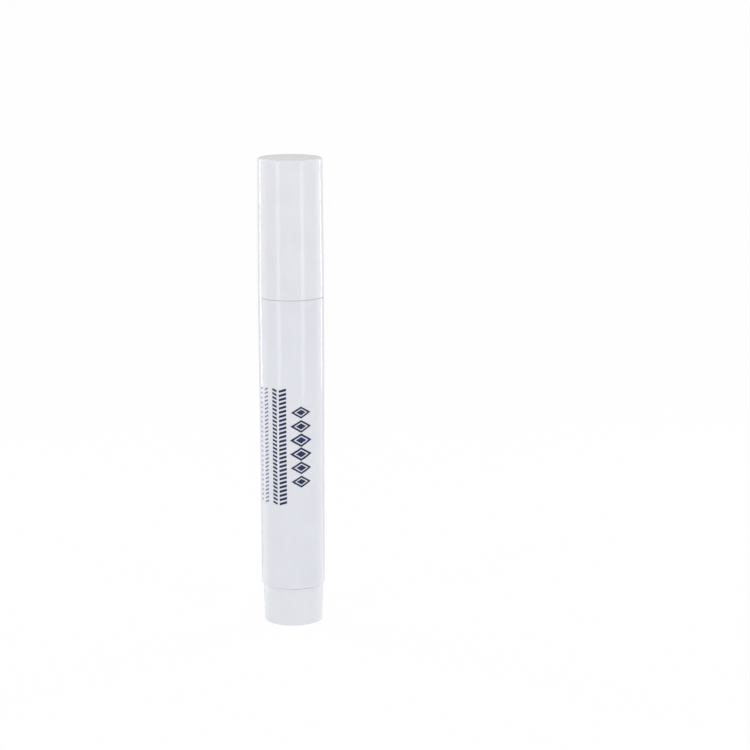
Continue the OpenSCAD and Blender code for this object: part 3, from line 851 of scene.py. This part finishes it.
def loop_through(corners, steps):
    """A closed loop of points with the same number of steps on each side."""
    sides = zip(corners, corners[1:] + corners[:1])
    return [blend_point(a, b, i / steps) for a, b in sides for i in range(steps)]


def patch(a, b, c, d, steps_across, steps_along=1):
    """Rows of points on the four-sided figure a, b, c, d."""
    rows = []
    for i in range(steps_along + 1):
        row = []
        for j in range(steps_across + 1):
            near = blend_point(a, b, j / steps_across)
            far = blend_point(d, c, j / steps_across)
            row.append(blend_point(near, far, i / steps_along))
        rows.append(row)
    return rows


def motif(name, slabs):
    """One motif from its slabs, lying flat."""
    vertices, faces = [], []
    for points, sides in slabs:
        faces += [tuple(len(vertices) + i for i in side) for side in sides]
        vertices += points
    piece = plain_mesh(name, vertices, faces)
    work = bmesh.new()
    work.from_mesh(piece.data)
    bmesh.ops.recalc_face_normals(work, faces=work.faces)
    work.to_mesh(piece.data)
    work.free()
    return piece


def lozenge(half_width, half_height, line, heart):
    """An outlined lozenge with a solid one inside it."""
    inner_w = half_width - line * math.hypot(half_width, half_height) / half_height
    inner_h = half_height * inner_w / half_width
    core_w, core_h = half_width * heart, half_height * heart
    outer = [(half_width, 0), (0, half_height), (-half_width, 0), (0, -half_height)]
    inner = [(inner_w, 0), (0, inner_h), (-inner_w, 0), (0, -inner_h)]
    core = [(core_w, 0), (0, core_h), (-core_w, 0), (0, -core_h)]
    outline = ring_slab(loop_through(outer, ring_steps), loop_through(inner, ring_steps))
    return [outline, slab(patch(*core, core_steps, core_steps))]


def stroke(half_width, half_height, slant):
    """A straight stroke. slant is how far its right end lies above its middle."""
    return [slab(patch((-half_width, -half_height - slant), (half_width, -half_height + slant),
                       (half_width, half_height + slant), (-half_width, half_height - slant),
                       stroke_steps))]


print("film of ink:", film / mm, "mm above the barrel and as far into it")

# %% [markdown]
# ## Wrapping a column round the barrel
# One motif is copied along the pen, and the copies may shrink towards both ends. The tree
# then bends them: the distance across becomes an angle round the axis, and the depth
# becomes a radius that follows the barrel's taper.

# %% Tree of a column


def column_tree(material):
    """Copies of a motif in a column, wrapped round the tapered barrel."""
    tree, inside, out = new_tree("print_column", [
        ("Count", "Int"), ("Pitch", "Float"), ("First height", "Float"), ("Across", "Float"),
        ("End scale", "Float"), ("Barrel radius", "Float"), ("Barrel taper", "Float"),
        ("Barrel bottom", "Float"), ("Film", "Float"),
    ])
    count, pitch, first, across, end_scale, barrel_r, taper, bottom, thick = inside[1:10]
    points = tree.nodes.new("GeometryNodePoints")
    tree.links.new(count, points.inputs["Count"])
    index = tree.nodes.new("GeometryNodeInputIndex").outputs[0]
    height = math_node(tree, "MULTIPLY_ADD", index, pitch, first)
    line = move_to(tree, points.outputs[0], across, 0.0, height)
    middle = math_node(tree, "MULTIPLY", math_node(tree, "SUBTRACT", count, 1.0), 0.5)
    off = math_node(tree, "ABSOLUTE", math_node(tree, "SUBTRACT", index, middle))
    size = ramp(tree, off, 0.0, middle, 1.0, end_scale)
    place = tree.nodes.new("GeometryNodeInstanceOnPoints")
    tree.links.new(line, place.inputs["Points"])
    tree.links.new(inside[0], place.inputs["Instance"])
    scale = tree.nodes.new("ShaderNodeCombineXYZ")
    feed(tree, scale, size, 1.0, size)
    tree.links.new(scale.outputs[0], place.inputs["Scale"])
    real = tree.nodes.new("GeometryNodeRealizeInstances")
    tree.links.new(place.outputs[0], real.inputs[0])
    x, y, z = split_position(tree)
    above = math_node(tree, "SUBTRACT", z, bottom)
    surface = math_node(tree, "MULTIPLY_ADD", above, taper, barrel_r)
    r = math_node(tree, "SUBTRACT", math_node(tree, "ADD", surface, thick), y)
    angle = math_node(tree, "DIVIDE", x, surface)
    new_x = math_node(tree, "MULTIPLY", r, math_node(tree, "SINE", angle))
    new_y = math_node(tree, "MULTIPLY", math_node(tree, "MULTIPLY", r, -1.0),
                      math_node(tree, "COSINE", angle))
    wrapped = move_to(tree, real.outputs[0], new_x, new_y, z)
    finish_tree(tree, wrapped, out, material)
    return tree


def print_column(flat, material, count, pitch, middle, across, end_scale):
    """Stands a motif in a column round the height middle, and wraps it on the barrel."""
    first = middle - pitch * (count - 1) / 2
    sizes = {
        "Count": count, "Pitch": pitch * mm, "First height": first * mm,
        "Across": across * mm, "End scale": end_scale, "Barrel radius": barrel_rear_r,
        "Barrel taper": barrel_taper, "Barrel bottom": barrel_z, "Film": film,
    }
    mesh = grow(flat, column_tree(material), sizes)
    bpy.data.objects.remove(flat)
    return mesh


barrel_rear_r = 7.7 * mm
barrel_front_r = 7.97 * mm
seam = 0.05 * mm
shoulder_z = cap_z - seam
barrel_taper = (barrel_front_r - barrel_rear_r) / (shoulder_z - barrel_z)
print("barrel widens by", round(barrel_taper * 1000, 2), "mm a metre")

# %% [markdown]
# The columns run along the pen: one strong column right of the middle, two slimmer ones
# beside it and two pale ones towards the left edge, where the barrel turns away.

# %% Print the columns
middle_z = 44.9
columns = [
    # motif, ink, count, pitch, across, scale of the end ones, with lengths in millimetres
    (lozenge(2.85, 1.72, 0.46, 0.48), navy, 6, 3.42, 2.2, 0.86),
    (stroke(0.92, 0.29, 0.3), navy, 28, 1.03, -2.33, 1.0),
    (stroke(0.6, 0.25, -0.22), navy, 30, 0.96, -4.43, 1.0),
    (stroke(0.6, 0.15, 0.28), pale_navy, 30, 0.96, -7.1, 1.0),
    (stroke(0.5, 0.17, 0.0), faint_navy, 24, 1.2, -9.35, 1.0),
]
print_meshes = [
    print_column(motif("motif_%d" % i, slabs), coat, count, pitch, middle_z, across, end_scale)
    for i, (slabs, coat, count, pitch, across, end_scale) in enumerate(columns)
]
ornament = join_meshes("barrel_print", print_meshes, smooth=False)
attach(ornament, "root")
print("print:", len(ornament.data.polygons), "faces on", len(print_meshes), "columns")

# %% [markdown]
# ## The studio
# The pen is white on white, so its shape is told by reflections alone. The camera and the
# gloss see the same plain white all round. The soft light that falls on the pen comes from
# the same sky, but it is dimmer overhead, so that the cap's top stays darker than its side.

# %% World
horizon_level = 0.98
overhead_level = 0.55


def seen_directly(tree):
    """1 for rays from the camera or by way of a reflection or glass, and 0 for others."""
    path = add(tree, "ShaderNodeLightPath")
    seen = path.outputs["Is Camera Ray"]
    for kind in ("Is Glossy Ray", "Is Transmission Ray"):
        either = add(tree, "ShaderNodeMath", operation="MAXIMUM")
        tree.links.new(seen, either.inputs[0])
        tree.links.new(path.outputs[kind], either.inputs[1])
        seen = either.outputs[0]
    return seen


def white_world():
    """Soft light that is dimmer overhead, with a plain white to the camera and in reflections."""
    world = bpy.data.worlds.new("studio_world")
    bpy.context.scene.world = world
    world.use_nodes = True
    tree = world.node_tree
    background = tree.nodes["Background"]
    place = add(tree, "ShaderNodeTexCoord")
    parts = add(tree, "ShaderNodeSeparateXYZ")
    level = add(tree, "ShaderNodeMapRange", in_3=horizon_level, in_4=overhead_level)
    strength = add(tree, "ShaderNodeMapRange", in_4=1.0)
    tree.links.new(place.outputs["Generated"], parts.inputs[0])
    tree.links.new(parts.outputs["Z"], level.inputs[0])
    tree.links.new(level.outputs[0], strength.inputs[3])
    tree.links.new(seen_directly(tree), strength.inputs[0])
    tree.links.new(strength.outputs[0], background.inputs["Strength"])
    background.inputs["Color"].default_value = (1, 1, 1, 1)


white_world()
print("sky:", overhead_level, "overhead,", horizon_level, "at the horizon")

# %% [markdown]
# ## The floor
# The photograph's ground is plain white, with hardly a shadow. So the camera and the gloss
# see the floor as almost pure light. For the soft light it is a pale matt sheet that glows
# about half as much, so that the edges of the pen that face down are not dark.

# %% Floor
floor_glow_share = 0.56
floor_white_share = 0.97


def floor():
    """A pale, glowing floor that the camera sees as white, apart from a part of its shadow."""
    half = 6.0
    corners = [(-half, -half, 0), (half, -half, 0), (half, half, 0), (-half, half, 0)]
    piece = plain_mesh("floor", corners, [(0, 1, 2, 3)])
    material, tree, shader = start_material("floor_white")
    shader.inputs["Base Color"].default_value = (0.9, 0.9, 0.905, 1)
    shader.inputs["Roughness"].default_value = 0.9
    shader.inputs["Specular IOR Level"].default_value = 0.1
    glow = add(tree, "ShaderNodeEmission", in_0=(1, 1, 1, 1), in_1=1.0)
    share = add(tree, "ShaderNodeMapRange", in_3=floor_glow_share, in_4=floor_white_share)
    mix = add(tree, "ShaderNodeMixShader")
    tree.links.new(seen_directly(tree), share.inputs[0])
    tree.links.new(share.outputs[0], mix.inputs[0])
    tree.links.new(shader.outputs[0], mix.inputs[1])
    tree.links.new(glow.outputs[0], mix.inputs[2])
    tree.links.new(mix.outputs[0], tree.nodes["Material Output"].inputs["Surface"])
    piece.data.materials.append(material)


floor()
print("floor:", floor_white_share, "of white to the camera,", floor_glow_share, "to the pen")

# %% [markdown]
# ## The tent
# A pale tent round the set keeps the very edge of the pen a shade darker than the ground.
# Its skirt lies on the floor behind the pen and does the same for the pen's lower part,
# where the gloss mirrors the floor.

# %% Tent with its skirt
tent_radius = 0.36
tent_height = 0.6
tent_level = 0.68
skirt_radius = 0.012
skirt_half_angle = 42


def tent():
    """A round wall of pale cloth, with a skirt behind the pen, that only reflections see."""
    sides = 64
    turns = [(math.cos(a), math.sin(a)) for a in (2 * math.pi * i / sides for i in range(sides))]
    rings = ((tent_radius, tent_height), (tent_radius, mm), (skirt_radius, mm))
    vertices = [(r * x, r * y, z) for r, z in rings for x, y in turns]
    faces = [(sides + i, sides + (i + 1) % sides, (i + 1) % sides, i) for i in range(sides)]
    first = round(sides / 4 - sides * skirt_half_angle / 360)
    for i in range(first, round(sides / 2) - first):
        faces.append((2 * sides + i, 2 * sides + i + 1, sides + i + 1, sides + i))
    piece = plain_mesh("tent", vertices, faces)
    material, tree, shader = start_material("tent_cloth")
    glow = add(tree, "ShaderNodeEmission", in_0=(1, 1, 1, 1), in_1=tent_level)
    tree.links.new(glow.outputs[0], tree.nodes["Material Output"].inputs["Surface"])
    piece.data.materials.append(material)
    piece.visible_camera = False
    piece.visible_diffuse = False
    piece.visible_transmission = False
    piece.visible_shadow = False


tent()
print("tent:", tent_height, "m high, with a brightness of", tent_level)

# %% [markdown]
# ## Strip lights
# Two tall strips behind the pen give the bright line just inside each edge, with two wide,
# weak panels beside them. Two more strips in front give the faint upright lines near the
# middle. They stand on the floor close by, so they fade from the lower part of the pen. Two
# thin strips on the floor carry the bright line on down there. A picture of a studio could
# light the pen too, but a strip can be moved until its reflection lies where it should.

# %% Lamps


def area_lamp(name, width, length, level):
    """A rectangular lamp that the camera doesn't see. level is its brightness, 1 as white."""
    data = bpy.data.lights.new(name, "AREA")
    data.shape = "RECTANGLE"
    data.size = width
    data.size_y = length
    data.energy = level * width * length * math.pi
    lamp = bpy.data.objects.new(name, data)
    bpy.context.scene.collection.objects.link(lamp)
    lamp.visible_camera = False
    return lamp


def strip_light(name, bearing, distance, width, level):
    """An upright strip light. The bearing is the angle from the camera, seen from above."""
    lamp = area_lamp(name, width, strip_height, level)
    a = math.radians(bearing)
    place = Vector((distance * math.sin(a), -distance * math.cos(a), strip_height / 2))
    aim = Vector((0, 0, place.z)) - place
    turn = aim.to_track_quat("-Z", "Y").to_matrix().to_4x4()
    lamp.matrix_world = Matrix.Translation(place) @ turn


def floor_strip(name, bearing, width, level):
    """A strip of light that lies on the floor and points away from the pen."""
    near, far = floor_strip_reach
    lamp = area_lamp(name, width, far - near, level)
    turn = Matrix.Rotation(math.radians(bearing), 4, "Z")
    middle = turn @ Vector((0, -(near + far) / 2, 0.5 * mm))
    face_up = Matrix.Rotation(math.pi, 4, "X")
    lamp.matrix_world = Matrix.Translation(middle) @ turn @ face_up


strip_height = 0.6
floor_strip_reach = (0.03, 0.3)
uprights = [
    # name, bearing, distance, width, level
    ("strip_back_left", -132.2, 0.3, 0.018, 7.4),
    ("strip_back_right", 131.8, 0.3, 0.018, 5.8),
    ("panel_left", -108.0, 0.34, 0.15, 0.5),
    ("panel_right", 112.0, 0.34, 0.12, 0.6),
    ("strip_front_left", -43.5, 0.28, 0.06, 1.6),
    ("strip_front_right", 41.0, 0.28, 0.06, 1.75),
]
floor_strips = [
    # name, bearing, width, level
    ("floor_strip_left", -120.0, 0.03, 0.2),
    ("floor_strip_right", 128.0, 0.02, 0.3),
]
for upright in uprights:
    strip_light(*upright)
for flat in floor_strips:
    floor_strip(*flat)
bpy.context.scene.view_settings.view_transform = "Standard"
